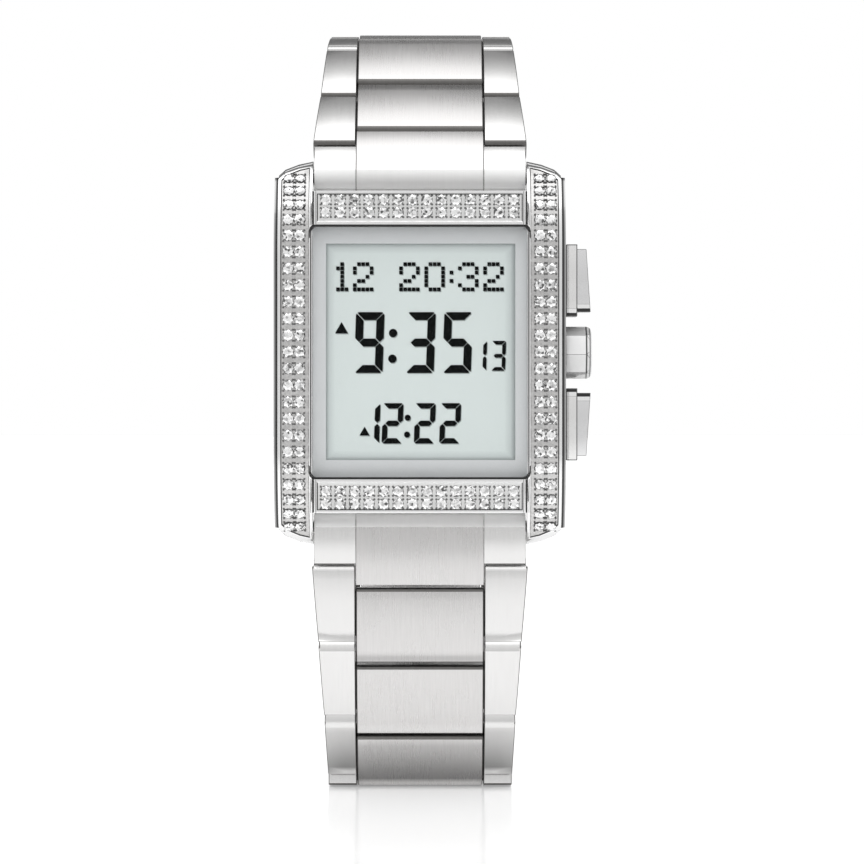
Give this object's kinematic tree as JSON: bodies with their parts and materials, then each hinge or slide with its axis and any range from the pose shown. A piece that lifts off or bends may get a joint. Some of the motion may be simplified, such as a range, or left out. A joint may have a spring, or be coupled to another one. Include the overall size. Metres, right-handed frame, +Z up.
{
  "type": "rectangular digital wristwatch",
  "caption": "Rectangular digital watch with a stone-set bezel, pushers, crown, folding clasp and jointed steel link bracelet, standing closed.",
  "frame": {"origin": "under the middle of the whole watch, on the surface that its bracelet stands on", "axes": "+Z up along the dial, +X to the crown side, the dial faces -Y"},
  "size_m": [0.038, 0.0506, 0.094],
  "materials": {
    "polished_steel": "mirror-polished stainless steel",
    "brushed_steel": "stainless steel brushed along its length",
    "stone_set_steel": "polished steel set with clear round faceted stones",
    "crystal_glass": "clear mineral glass",
    "display_glass": "grey-green liquid crystal display",
    "grey_mask": "light grey printed border",
    "black_rubber": "black rubber",
    "black_plastic": "black moulded plastic",
    "circuit_board": "green solder mask",
    "brass": "bright brass",
    "dark_steel": "blackened spring steel"
  },
  "bodies": {
    "case": {"case_body": "polished_steel", "stone_rail_left": "stone_set_steel", "stone_rail_right": "stone_set_steel", "stone_bar_top": "stone_set_steel", "stone_bar_bottom": "stone_set_steel", "crystal": "crystal_glass", "crystal_gasket": "black_rubber", "display_frame": "grey_mask", "lcd_panel": "display_glass", "contact_strip_upper": "black_rubber", "contact_strip_lower": "black_rubber", "circuit_board": "circuit_board", "module_housing": "black_plastic", "coin_cell": "polished_steel", "cell_clip": "brass", "back_screw_1": "polished_steel", "back_screw_2": "polished_steel", "back_screw_3": "polished_steel", "back_screw_4": "polished_steel", "case_back": "brushed_steel", "back_gasket": "black_rubber", "sounder": "brass", "pusher_guard_upper": "polished_steel", "pusher_spring_upper": "brass", "pusher_guard_lower": "polished_steel", "pusher_spring_lower": "brass", "crown_tube": "brass", "crown_spring": "brass", "spring_bar_top": "polished_steel", "spring_bar_bottom": "polished_steel"},
    "pusher_upper": {"pusher_upper": "polished_steel", "pusher_clip_upper": "dark_steel"},
    "pusher_lower": {"pusher_lower": "polished_steel", "pusher_clip_lower": "dark_steel"},
    "crown_slide": {"crown_clip": "dark_steel"},
    "crown": {"crown": "polished_steel"},
    "end_link_top": {"end_link_top": "brushed_steel"},
    "end_link_bottom": {"end_link_bottom": "brushed_steel"},
    "top_link_1": {"top_link_1": "brushed_steel"},
    "top_link_2": {"top_link_2": "brushed_steel"},
    "top_link_3": {"top_link_3": "brushed_steel"},
    "top_link_4": {"top_link_4": "brushed_steel"},
    "top_link_5": {"top_link_5": "brushed_steel"},
    "top_link_6": {"top_link_6": "brushed_steel"},
    "bottom_link_1": {"bottom_link_1": "brushed_steel"},
    "bottom_link_2": {"bottom_link_2": "brushed_steel"},
    "bottom_link_3": {"bottom_link_3": "brushed_steel"},
    "bottom_link_4": {"bottom_link_4": "brushed_steel"},
    "bottom_link_5": {"bottom_link_5": "brushed_steel"},
    "bottom_link_6": {"bottom_link_6": "brushed_steel"},
    "bottom_link_7": {"bottom_link_7": "brushed_steel"},
    "bottom_link_8": {"bottom_link_8": "brushed_steel"},
    "clasp_cover": {"clasp_cover": "polished_steel", "clasp_pin": "polished_steel"},
    "clasp_middle_blade": {"clasp_middle_blade": "polished_steel"},
    "clasp_inner_blade": {"clasp_inner_blade": "polished_steel"},
    "clasp_button_left": {"clasp_button_left": "brushed_steel"},
    "clasp_button_right": {"clasp_button_right": "brushed_steel"}
  },
  "joints": [
    {"name": "pusher_upper_press", "type": "slide", "parent": "case", "child": "pusher_upper", "axis": [-1, 0, 0], "range_m": [0, 0.0007], "stiffness_N_per_m": 400, "springref_m": -0.0003},
    {"name": "pusher_lower_press", "type": "slide", "parent": "case", "child": "pusher_lower", "axis": [-1, 0, 0], "range_m": [0, 0.0007], "stiffness_N_per_m": 400, "springref_m": -0.0003},
    {"name": "crown_press", "type": "slide", "parent": "case", "child": "crown_slide", "axis": [-1, 0, 0], "range_m": [0, 0.0007], "stiffness_N_per_m": 400, "springref_m": -0.0003},
    {"name": "crown_turn", "type": "hinge", "parent": "crown_slide", "child": "crown", "pos_m": [-0.00158, -0.01973, 0.05324], "axis": [1, 0, 0], "continuous": true},
    {"name": "top_hinge_0", "type": "hinge", "parent": "case", "child": "end_link_top", "pos_m": [-0.00158, -0.01903, 0.07414], "axis": [-1, 0, 0], "range_deg": [-35.5, 0]},
    {"name": "top_hinge_1", "type": "hinge", "parent": "end_link_top", "child": "top_link_1", "pos_m": [-0.00158, -0.01645, 0.07776], "axis": [-1, 0, 0], "range_deg": [-11.9, 0]},
    {"name": "top_hinge_2", "type": "hinge", "parent": "top_link_1", "child": "top_link_2", "pos_m": [-0.00158, -0.0096, 0.08406], "axis": [-1, 0, 0], "range_deg": [-3.1, 0]},
    {"name": "top_hinge_3", "type": "hinge", "parent": "top_link_2", "child": "top_link_3", "pos_m": [-0.00158, -0.00242, 0.08997], "axis": [-1, 0, 0], "range_deg": [-26.5, 0]},
    {"name": "top_hinge_4", "type": "hinge", "parent": "top_link_3", "child": "top_link_4", "pos_m": [-0.00158, 0.00664, 0.09206], "axis": [-1, 0, 0], "range_deg": [-33, 0]},
    {"name": "top_hinge_5", "type": "hinge", "parent": "top_link_4", "child": "top_link_5", "pos_m": [-0.00158, 0.01538, 0.08888], "axis": [-1, 0, 0], "range_deg": [-32, 0]},
    {"name": "top_hinge_6", "type": "hinge", "parent": "top_link_5", "child": "top_link_6", "pos_m": [-0.00158, 0.0211, 0.08156], "axis": [-1, 0, 0], "range_deg": [-24, 0]},
    {"name": "top_hinge_7", "type": "hinge", "parent": "top_link_6", "child": "clasp_cover", "pos_m": [-0.00158, 0.02335, 0.07253], "axis": [-1, 0, 0], "range_deg": [-20.6, 0]},
    {"name": "bottom_hinge_0", "type": "hinge", "parent": "case", "child": "end_link_bottom", "pos_m": [-0.00158, -0.01903, 0.03234], "axis": [1, 0, 0], "range_deg": [-12, 0]},
    {"name": "bottom_hinge_1", "type": "hinge", "parent": "end_link_bottom", "child": "bottom_link_1", "pos_m": [-0.00158, -0.0188, 0.02624], "axis": [1, 0, 0], "range_deg": [-6.8, 0]},
    {"name": "bottom_hinge_2", "type": "hinge", "parent": "bottom_link_1", "child": "bottom_link_2", "pos_m": [-0.00158, -0.01734, 0.01706], "axis": [1, 0, 0], "range_deg": [-14.1, 0]},
    {"name": "bottom_hinge_3", "type": "hinge", "parent": "bottom_link_2", "child": "bottom_link_3", "pos_m": [-0.00158, -0.01369, 0.0085], "axis": [1, 0, 0], "range_deg": [-22.1, 0]},
    {"name": "bottom_hinge_4", "type": "hinge", "parent": "bottom_link_3", "child": "bottom_link_4", "pos_m": [-0.00158, -0.00709, 0.00195], "axis": [1, 0, 0], "range_deg": [-44.8, 0]},
    {"name": "bottom_hinge_5", "type": "hinge", "parent": "bottom_link_4", "child": "bottom_link_5", "pos_m": [-0.00158, 0.00221, 0.00195], "axis": [1, 0, 0], "range_deg": [-33, 0]},
    {"name": "bottom_hinge_6", "type": "hinge", "parent": "bottom_link_5", "child": "bottom_link_6", "pos_m": [-0.00158, 0.01001, 0.00702], "axis": [1, 0, 0], "range_deg": [-25, 0]},
    {"name": "bottom_hinge_7", "type": "hinge", "parent": "bottom_link_6", "child": "bottom_link_7", "pos_m": [-0.00158, 0.01494, 0.0149], "axis": [1, 0, 0], "range_deg": [-16, 0]},
    {"name": "bottom_hinge_8", "type": "hinge", "parent": "bottom_link_7", "child": "bottom_link_8", "pos_m": [-0.00158, 0.0175, 0.02384], "axis": [1, 0, 0], "range_deg": [-8, 0]},
    {"name": "clasp_fold_lower", "type": "hinge", "parent": "clasp_cover", "child": "clasp_middle_blade", "pos_m": [-0.00158, 0.01932, 0.03853], "axis": [1, 0, 0], "range_deg": [0, 60]},
    {"name": "clasp_fold_upper", "type": "hinge", "parent": "clasp_middle_blade", "child": "clasp_inner_blade", "pos_m": [-0.00158, 0.02186, 0.06616], "axis": [-1, 0, 0], "range_deg": [0, 60]},
    {"name": "clasp_button_left_press", "type": "slide", "parent": "clasp_cover", "child": "clasp_button_left", "axis": [1, 0, 0], "range_m": [0, 0.0008], "stiffness_N_per_m": 300, "springref_m": -0.0003},
    {"name": "clasp_button_right_press", "type": "slide", "parent": "clasp_cover", "child": "clasp_button_right", "axis": [-1, 0, 0], "range_m": [0, 0.0008], "stiffness_N_per_m": 300, "springref_m": -0.0003}
  ],
  "couplings": [
    {"joint": "clasp_fold_upper", "follows": "clasp_fold_lower", "ratio": 1}
  ]
}
